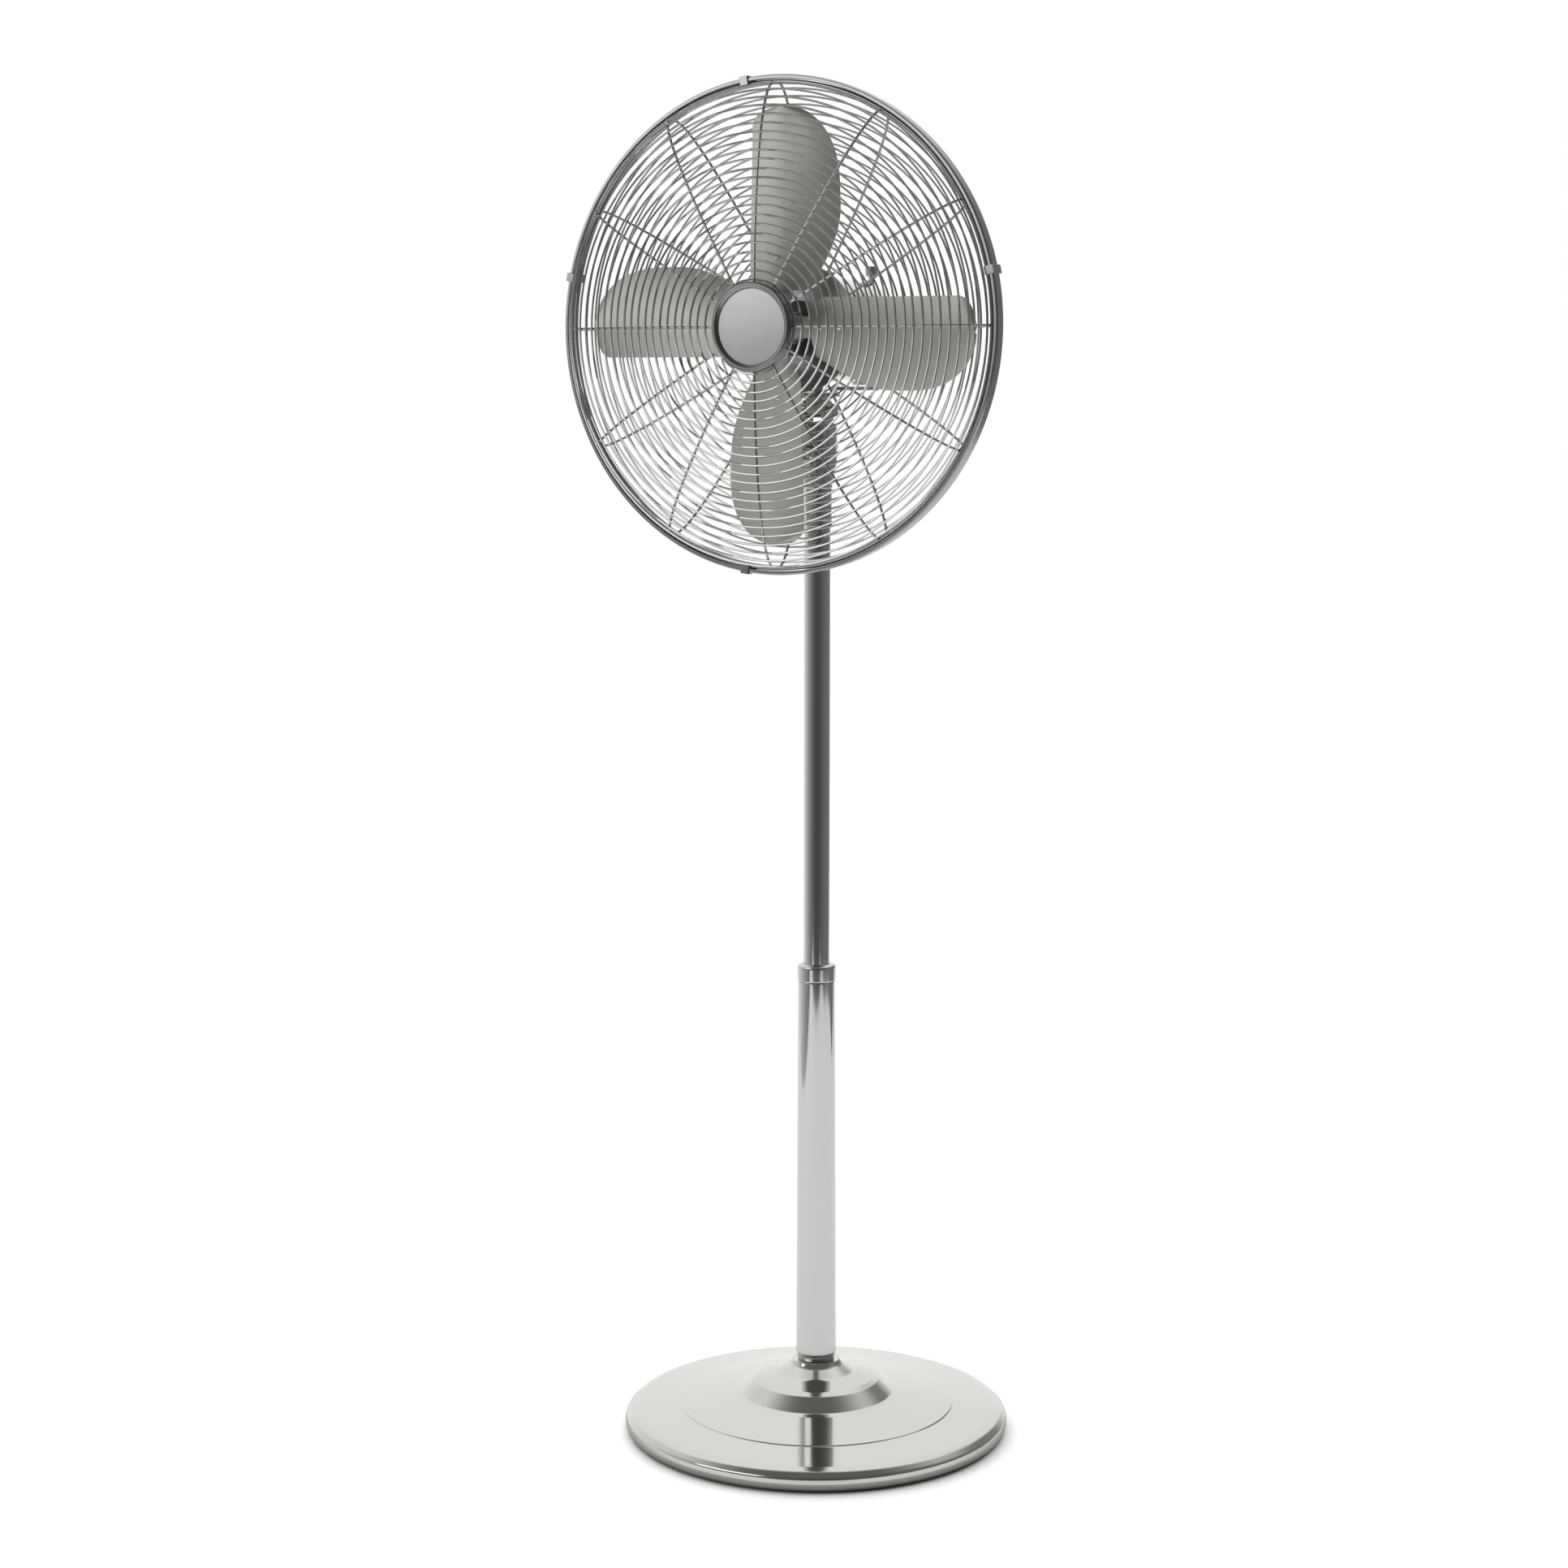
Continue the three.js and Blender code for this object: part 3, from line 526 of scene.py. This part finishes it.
def add_world():
    """A pale studio that is darker on the camera's side; what the camera sees of it is white."""
    world = bpy.data.worlds.new("studio")
    bpy.context.scene.world = world
    world.use_nodes = True
    nodes, links = world.node_tree.nodes, world.node_tree.links
    direction = nodes.new("ShaderNodeTexCoord").outputs["Generated"]

    def along(axis):
        """How far a direction points along an axis."""
        dot = nodes.new("ShaderNodeVectorMath")
        dot.operation = "DOT_PRODUCT"
        dot.inputs[1].default_value = axis
        links.new(direction, dot.inputs[0])
        return dot.outputs["Value"]

    def ranged(value, from_low, from_high, low, high, smooth=True):
        ramp = nodes.new("ShaderNodeMapRange")
        ramp.interpolation_type = "SMOOTHSTEP" if smooth else "LINEAR"
        ramp.inputs["From Min"].default_value = from_low
        ramp.inputs["From Max"].default_value = from_high
        ramp.inputs["To Min"].default_value = low
        ramp.inputs["To Max"].default_value = high
        links.new(value, ramp.inputs["Value"])
        return ramp.outputs["Result"]

    heading = nodes.new("ShaderNodeMath")
    heading.operation = "ARCTAN2"
    links.new(along(-TO_LEFT), heading.inputs[0])
    links.new(along(TO_CAMERA), heading.inputs[1])
    share = ranged(heading.outputs["Value"], -math.pi, math.pi, 0, 1, smooth=False)
    around = nodes.new("ShaderNodeValToRGB")
    stops = around.color_ramp.elements
    for index, (degrees, level) in enumerate(STUDIO_LEVELS):
        place = (degrees + 180) / 360
        stop = stops[index] if index < 2 else stops.new(place)
        stop.position = place
        stop.color = (level, level, level, 1)
    links.new(share, around.inputs["Fac"])

    overhead = ranged(along(-TO_CAMERA), -0.3, 0.4, 0.16, 1.12)
    height = ranged(along(Vector((0, 0, 1))), 0.45, 0.85, 0, 1)
    blend = nodes.new("ShaderNodeMix")
    links.new(height, blend.inputs["Factor"])
    links.new(around.outputs["Color"], blend.inputs["A"])
    links.new(overhead, blend.inputs["B"])

    studio = nodes["Background"]
    links.new(blend.outputs["Result"], studio.inputs["Strength"])
    studio.inputs["Color"].default_value = (0.985, 1.0, 0.98, 1)
    white = nodes.new("ShaderNodeBackground")
    white.inputs["Color"].default_value = (1, 1, 1, 1)
    mix = nodes.new("ShaderNodeMixShader")
    links.new(nodes.new("ShaderNodeLightPath").outputs["Is Camera Ray"], mix.inputs["Fac"])
    links.new(studio.outputs["Background"], mix.inputs[1])
    links.new(white.outputs["Background"], mix.inputs[2])
    links.new(mix.outputs["Shader"], nodes["World Output"].inputs["Surface"])


KEY_PLACE = Vector((-1.25, -2.4, 1.8))
KEY_SIZE = (2.2, 1.2)
KEY_POWER = 13


def add_studio():
    MATERIALS["floor"] = make_paper()
    add_floor()
    add_world()
    add_sky_light()
    head = Vector((0, 0, HEAD_Z * MM))
    add_softbox("key_softbox", KEY_PLACE, head, KEY_SIZE, KEY_POWER)
    bpy.context.scene.view_settings.view_transform = "Standard"


# ---- base and pole ----


def base_outline():
    """Outer skin of the pressed cover from the rim up to the pole, then its inner skin."""
    low, high = extent("base_cover")
    radius = high.x
    top = high.z
    outside = [
        (radius - 5, low.z, 0),
        (radius - 1.2, low.z + 1.5, 3),
        (radius, 9.5, 6),
        (radius - 1, 15.5, 5),
        (radius - 6, 20.5, 6),
        (radius - 13, 22.6, 5),
        (0.72 * radius, 27.2, 3),
        (0.715 * radius, 28.4, 0.8),
        (0.70 * radius, 28.8, 2),
        (0.43 * radius, 36.5, 3),
        (0.40 * radius, 38.0, 3.5),
        (0.33 * radius, 50.6, 4),
        (0.30 * radius, 53.4, 6),
        (38, 58.5, 14),
        (26, 66.0, 8),
        (23.2, top, 0),
    ]
    thickness = 1.6
    skin = rounded(outside, closed=False, steps=6)
    inner = [(max(x - thickness * 0.7, 16), y - thickness) for x, y in reversed(skin[2:])]
    return skin + [(16, top)] + inner[1:] + [(radius - 5 - thickness, low.z)]


def add_base():
    cover = turned("base_cover_fine", base_outline(), "pressed", segments=220)
    settle(cover, "base", "chrome", "base_cover")
    for index in range(1, 5):
        low, high = extent(f"foot_{index}")
        centre = ((low.x + high.x) / 2, (low.y + high.y) / 2, 0)
        outline = [(0, 0), (3, 0), (3.6, 1.2), (8.2, 1.2), (8.8, 0)]
        outline += [(9.6, 0), (10.7, 1), (11, 1.8), (11, high.z), (0, high.z)]
        foot = turned(f"foot_{index}_fine", outline, "rubber", centre=centre, segments=48, closed=False)
        settle(foot, "base", "rubber", f"foot_{index}")


def add_poles():
    low, high = extent("lower_pole")
    bottom_radius = (high.x - low.x) / 2
    top_radius = bottom_radius - 1.8
    wall = 1.5
    tube_outline = [
        (bottom_radius, low.z, 0),
        (top_radius, high.z, 0.5),
        (top_radius - wall, high.z, 0.5),
        (bottom_radius - wall, low.z, 0),
    ]
    lower = turned("lower_pole_fine", rounded(tube_outline, steps=3), "chrome")
    settle(lower, "base", "chrome", "lower_pole")

    low, high = extent("foot_ring")
    inner = bottom_radius - 4.2
    ring_outline = [
        (inner, low.z, 0),
        (inner + 2.2, low.z, 0.4),
        (inner + 2.6, low.z + 3, 2),
        (inner + 3.4, high.z, 0.5),
        (inner, high.z, 0),
    ]
    ring = turned("foot_ring_fine", rounded(ring_outline), "neck")
    settle(ring, "base", "satin_metal", "foot_ring")

    low, high = extent("lock_collar")
    radius = (high.x - low.x) / 2
    hole = 13.1  # clears the upper pole
    collar_outline = [
        (hole, low.z, 0.3),
        (radius - 0.7, low.z, 0.3),
        (radius, low.z + 0.8, 0.5),
        (radius, high.z - 1.5, 4),
        (radius - 3.4, high.z, 1.5),
        (hole + 0.8, high.z, 0.4),
        (hole, high.z - 0.8, 0.2),
    ]
    collar = turned("lock_collar_fine", rounded(collar_outline), "chrome")
    settle(collar, "lock_collar", "chrome", "lock_collar")

    low, high = extent("upper_pole")
    radius = (high.x - low.x) / 2
    pole_outline = [
        (radius, low.z, 0.4),
        (radius, high.z, 0.4),
        (radius - 1.4, high.z, 0.4),
        (radius - 1.4, low.z, 0.4),
    ]
    upper = turned("upper_pole_fine", rounded(pole_outline, steps=3), "chrome")
    settle(upper, "mast", "chrome", "upper_pole")


# ---- neck ----


def add_neck():
    low, high = extent("neck_sleeve")
    radius = (high.x - low.x) / 2
    sleeve_outline = [
        (13.0, low.z, 0.3),
        (radius, low.z, 0.6),
        (radius, low.z + 5, 0.3),
        (radius - 0.6, low.z + 5.6, 0.2),
        (radius - 0.6, high.z - 3.6, 0.2),
        (radius, high.z - 3, 0.3),
        (radius, high.z, 0.4),
        (13.0, high.z, 0.3),
    ]
    sleeve = turned("neck_sleeve_fine", rounded(sleeve_outline), "chrome", segments=SMALL)
    settle(sleeve, "mast", "chrome", "neck_sleeve")


# ---- motor ----


def cover_radius(along, rear, radius):
    """Radius of the motor cover: straight, then a long taper into a round end."""
    taper = min(max((along - 10) / (rear - 10), 0), 1)
    return radius * math.sqrt(1 - 0.28 * taper**2) * math.sqrt(max(0, 1 - taper**9))


def add_motor():
    low, high = extent("motor_cover")
    radius = (high.z - low.z) / 2
    front, rear = low.y, high.y
    stations = [front + (rear - front) * math.sin(step / 48 * math.pi / 2) for step in range(49)]
    outside = [(cover_radius(y, rear, radius), y) for y in stations]
    inside = [(max(r - 1.5, 0), min(y, rear - 1.8)) for r, y in outside[:-1]]
    outline = outside + [(0, rear - 1.8)] + inside[::-1] + [outside[0]]
    cover = turned("motor_cover_fine", outline, "chrome", "Y", (0, 0, HEAD_Z), closed=False)
    settle(cover, "head", "chrome", "motor_cover")


# ---- wire guards ----

SPOKES = 12
RING_PITCH = 8.4
RING_WIRE = 1.05
SPOKE_WIRE = 1.25
ROUNDNESS = 2.5


def add_guard(name, side, node):
    """One wire guard: its rim, its concentric rings and its spokes. Side is -1 in front, 1 behind."""
    low, high = extent(node)
    rim_radius = (high.x - low.x) / 2 - 2.2
    rim_y = RIM_Y + side * 3.6
    depth = 38 if side < 0 else 43
    inner = 34 if side < 0 else 56

    def surface(radius):
        swell = max(0, 1 - (min(radius, rim_radius) / rim_radius) ** ROUNDNESS)
        return rim_y + side * depth * math.sqrt(swell)

    def circle(radius, y, steps):
        angles = (2 * math.pi * step / steps for step in range(steps))
        return [Vector((radius * math.cos(a), y, HEAD_Z + radius * math.sin(a))) for a in angles]

    # Rings at even steps along the curved surface, outside the spokes.
    sweep = [inner + (rim_radius - 0.4 - inner) * math.sin(k / 400 * math.pi / 2) for k in range(401)]
    parts = [tube(circle(rim_radius, rim_y, 180), 2.1, 10, closed=True)]
    travelled = 0
    for before, after in zip(sweep, sweep[1:]):
        travelled += math.hypot(after - before, surface(after) - surface(before))
        if travelled >= RING_PITCH:
            travelled -= RING_PITCH
            ring_y = surface(after) + side * (RING_WIRE + SPOKE_WIRE - 0.25)
            parts.append(tube(circle(after, ring_y, 120), RING_WIRE, 6, closed=True))
    for index in range(SPOKES):
        angle = 2 * math.pi * index / SPOKES
        path = []
        for step in range(31):
            radius = inner + (rim_radius - 0.8 - inner) * math.sin(step / 30 * math.pi / 2)
            y = surface(radius) if step < 30 else rim_y
            path.append(Vector((radius * math.cos(angle), y, HEAD_Z + radius * math.sin(angle))))
        parts.append(tube(path, SPOKE_WIRE, 8))
    vertices, faces = gather(parts)
    guard = add_object(name, vertices, faces, "wire", sharp=60)
    return guard


def add_guards():
    front = add_guard("front_guard_fine", -1, "front_guard")
    settle(front, "head", "wire", "front_guard")
    rear = add_guard("rear_guard_fine", 1, "rear_guard")
    settle(rear, "head", "wire", "rear_guard")

    low, high = extent("front_guard")
    plate_outline = [(6, low.y, 0.3), (37, low.y, 0.8), (37, low.y + 3, 0.8), (6, low.y + 3, 0.3)]
    plate = turned("front_hub_plate", rounded(plate_outline), "steel", "Y", (0, 0, HEAD_Z), SMALL)
    settle(plate, "head", "wire")
    back = extent("rear_guard")[1].y
    plate_outline = [(15.3, back - 3, 0.3), (60, back - 3, 0.8), (60, back, 0.8), (15.3, back, 0.3)]
    plate = turned("rear_hub_plate", rounded(plate_outline), "steel", "Y", (0, 0, HEAD_Z), SMALL)
    settle(plate, "head", "wire")

    low, high = extent("rim_band")
    inner = RIM_RADIUS - 3.9
    band_outline = [
        (inner, low.y, 0.3),
        (RIM_RADIUS - 1.3, low.y, 0.8),
        (RIM_RADIUS, low.y + 2, 1.2),
        (RIM_RADIUS, high.y - 2, 1.2),
        (RIM_RADIUS - 1.3, high.y, 0.8),
        (inner, high.y, 0.3),
    ]
    band = turned("rim_band_fine", rounded(band_outline), "rim", "Y", (0, 0, HEAD_Z), 240)
    settle(band, "head", "steel", "rim_band")


def add_badge():
    low, high = extent("badge_ring")
    radius = (high.x - low.x) / 2
    ring_outline = [
        (radius - 6.4, high.y, 0),
        (radius - 1.2, high.y, 0.6),
        (radius, high.y - 1.6, 1.4),
        (radius - 1, low.y + 0.8, 1.2),
        (radius - 3.4, low.y, 1.6),
        (radius - 6.4, low.y + 1.8, 0.8),
    ]
    ring = turned("badge_ring_fine", rounded(ring_outline), "ring", "Y", (0, 0, HEAD_Z), FINE)
    settle(ring, "head", "steel", "badge_ring")

    low, high = extent("badge_disc")
    radius = (high.x - low.x) / 2 - 0.1
    face = [(radius * k / 16, low.y + 1.4 * (k / 16) ** 2) for k in range(17)]
    outline = face + [(radius, high.y), (0, high.y)]
    disc = turned("badge_disc_fine", outline, "brushed", "Y", (0, 0, HEAD_Z), FINE, closed=False)
    settle(disc, "head", "brushed", "badge_disc")


# ---- blades ----

BLADE = {"root": 34, "tip": 202, "y": -74, "thickness": 1.2, "camber": 4}
BLADE_PITCH = (math.radians(17), math.radians(3))


def blade_edges(radius):
    """How far a blade reaches on its straight trailing side and its bulging leading side."""
    root, tip = BLADE["root"], BLADE["tip"]

    def closing(start, power):
        share = min(max((radius - start) / (tip - start), 0), 1)
        return math.sqrt(1 - share**power)

    growth = math.sin(math.pi / 2 * min(max((radius - root) / 80, 0), 1))
    share = min(max((radius - root) / 20, 0), 1)
    trailing = -22 - 5 * share * share * (3 - 2 * share)
    leading = 26 + 32 * growth
    offset = 5
    low = offset + (trailing - offset) * max(closing(184, 2.2), 0.04)
    high = offset + (leading - offset) * max(closing(130, 2.35), 0.04)
    return low, high


def blade_point(radius, share, lift):
    """A point on a blade that points along +X: share runs from the trailing to the leading edge."""
    root, tip = BLADE["root"], BLADE["tip"]
    along = (radius - root) / (tip - root)
    low, high = blade_edges(radius)
    pitch = BLADE_PITCH[0] + (BLADE_PITCH[1] - BLADE_PITCH[0]) * along
    across = low + (high - low) * share
    camber = BLADE["camber"] * (1 - (2 * share - 1) ** 2)
    return Vector((radius, BLADE["y"] + across * math.tan(pitch) - camber + lift, -across))


def add_blade(index):
    rows, columns = 56, 22
    root, tip = BLADE["root"], BLADE["tip"]
    half = BLADE["thickness"] / 2
    vertices, faces = [], []
    turn = Matrix.Rotation(-2 * math.pi * (index - 1) / 4, 3, "Y")
    for lift in (-half, half):
        for row in range(rows + 1):
            radius = root + (tip - root) * math.sin(row / rows * math.pi / 2)
            for column in range(columns + 1):
                share = 0.5 - 0.5 * math.cos(math.pi * column / columns)
                point = turn @ blade_point(radius, share, lift)
                vertices.append((point.x, point.y, point.z + HEAD_Z))
    width = columns + 1
    layer = (rows + 1) * width
    for row in range(rows):
        for column in range(columns):
            corner = row * width + column
            quad = (corner, corner + 1, corner + width + 1, corner + width)
            faces.append(quad)
            faces.append(tuple(value + layer for value in reversed(quad)))
    border = list(range(columns))
    border += [row * width + columns for row in range(rows)]
    border += [rows * width + column for column in range(columns, 0, -1)]
    border += [row * width for row in range(rows, 0, -1)]
    for here, ahead in zip(border, border[1:] + border[:1]):
        faces.append((here, here + layer, ahead + layer, ahead))
    blade = add_object(f"blade_{index}_fine", vertices, faces, "satin", sharp=50)
    face_outward(blade)
    settle(blade, "spinner", "satin_metal", f"blade_{index}")


# ---- rivets ----


def add_rivets():
    """Two domed rivets on each blade, which hold it to its arm of the hub."""
    for index in range(1, 5):
        turn = Matrix.Rotation(-2 * math.pi * (index - 1) / 4, 3, "Y")
        for number, radius in enumerate((44, 64), start=1):
            low, high = blade_edges(radius)
            middle = blade_point(radius, -low / (high - low), -BLADE["thickness"] / 2)
            place = turn @ middle
            centre = (place.x, place.y, place.z + HEAD_Z)
            steps = [step / 8 * math.pi / 2 for step in range(9)]
            dome = [(2.9 * math.cos(angle), -1.5 * math.sin(angle)) for angle in steps]
            outline = [(0, 1.2), (2.9, 1.2)] + dome
            name = f"blade_{index}_rivet_{number}"
            rivet = turned(name, outline, "rivet", "Y", centre, segments=24, closed=False)
            settle(rivet, "spinner", "aluminium")


# ---- CAD nodes whose shape is kept, some of them with rolled edges ----

ROLLED = {
    "neck": {"tilt_block": 0.5},
    "satin": {"blade_nut": 0.5},
    "rim": {"rim_clip_1": 0.35, "rim_clip_2": 0.35, "rim_clip_3": 0.35, "rim_clip_4": 0.35},
    "chrome": {"neck_housing": 0.6, "motor_front_cover": 0.4, "oscillation_knob": 0.5,
               "speed_knob": 0.5},
    "aluminium": {"motor_mount": 0.4, "blade_hub": 0.3},
    "steel": {"tilt_bolt": 0.3, "crank": 0.3, "link_arm": 0.3, "link_anchor": 0.15},
    "black": {"tilt_knob": 0.7},
    "grey": {"rear_guard_nut": 0.4},
    "rubber": {"cord_gland": 0.3},
}
PLAIN = {
    "steel": ["base_bolt", "pole_foot_plug", "swivel_pin", "motor_rotor", "motor_shaft", "worm",
              "gearbox_lid"],
    "cast": ["base_weight"],
    "aluminium": ["rear_bracket", "gearbox_case"],
    "copper": ["motor_stator"],
    "brass": ["front_bearing", "rear_bearing", "worm_wheel"],
    "black": ["speed_switch"],
    "grey": ["collet_sleeve", "pole_guide", "capacitor"],
}


def dress_cad_nodes():
    for material, widths in ROLLED.items():
        for node, width in widths.items():
            softened(node, material, width)
    for material, nodes in PLAIN.items():
        for node in nodes:
            mesh = frame["nodes"][node].data
            mesh.materials.clear()
            mesh.materials.append(MATERIALS[material])


add_camera()
add_studio()
add_base()
add_poles()
add_neck()
add_motor()
add_guards()
add_badge()
for blade_index in range(1, 5):
    add_blade(blade_index)
add_rivets()
dress_cad_nodes()
